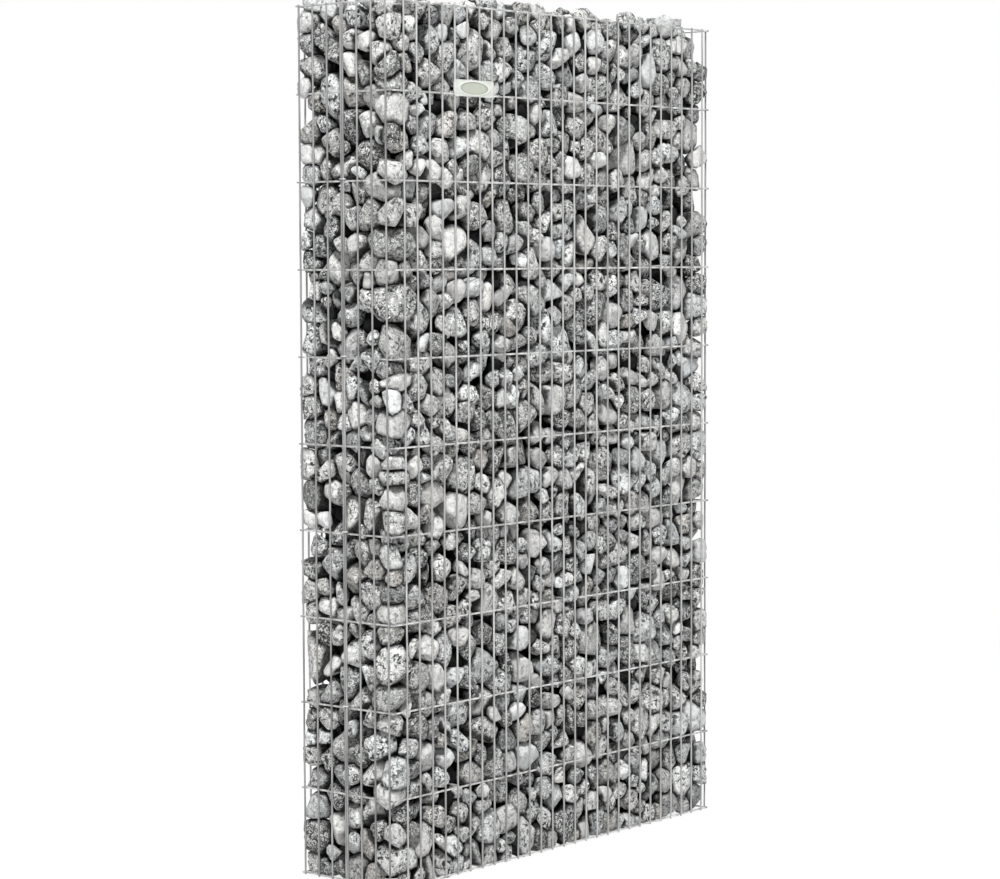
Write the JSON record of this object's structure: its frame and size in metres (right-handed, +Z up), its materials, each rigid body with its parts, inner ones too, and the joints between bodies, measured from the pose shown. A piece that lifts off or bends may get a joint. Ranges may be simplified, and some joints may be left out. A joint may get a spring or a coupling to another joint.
{
  "type": "gabion wall",
  "caption": "Slim free-standing gabion wall: tall narrow welded-wire cage made of two bent mats, tied across by hooked spacers and filled with rounded stones, as a garden screen.",
  "frame": {"origin": "on the ground, under the middle of the wall", "axes": "+X along the wall to the right as seen from the front, +Y to the back, +Z up"},
  "size_m": [1.221, 0.2989, 2.032],
  "materials": {
    "galvanised_wire": "dull galvanised",
    "tie_wire": "dull galvanised",
    "fill_stone": "tumbled, matt",
    "plate_sheet": "satin"
  },
  "bodies": {
    "root": {"front_mesh": "galvanised_wire", "front_mesh_left_return": "galvanised_wire", "front_mesh_right_return": "galvanised_wire", "back_mesh": "galvanised_wire", "back_mesh_left_return": "galvanised_wire", "back_mesh_right_return": "galvanised_wire", "left_seam_clips": "tie_wire", "right_seam_clips": "tie_wire", "spacer_row_1_left": "tie_wire", "spacer_row_1_middle": "tie_wire", "spacer_row_1_right": "tie_wire", "spacer_row_3_left": "tie_wire", "spacer_row_3_middle": "tie_wire", "spacer_row_3_right": "tie_wire", "spacer_row_5_left": "tie_wire", "spacer_row_5_middle": "tie_wire", "spacer_row_5_right": "tie_wire", "spacer_row_7_left": "tie_wire", "spacer_row_7_middle": "tie_wire", "spacer_row_7_right": "tie_wire", "spacer_row_9_left": "tie_wire", "spacer_row_9_middle": "tie_wire", "spacer_row_9_right": "tie_wire", "stone_lift_1": "fill_stone", "stone_lift_2": "fill_stone", "stone_lift_3": "fill_stone", "stone_lift_4": "fill_stone", "stone_lift_5": "fill_stone", "crown_stone_lift": "fill_stone", "blank_plate": "plate_sheet"}
  },
  "joints": []
}
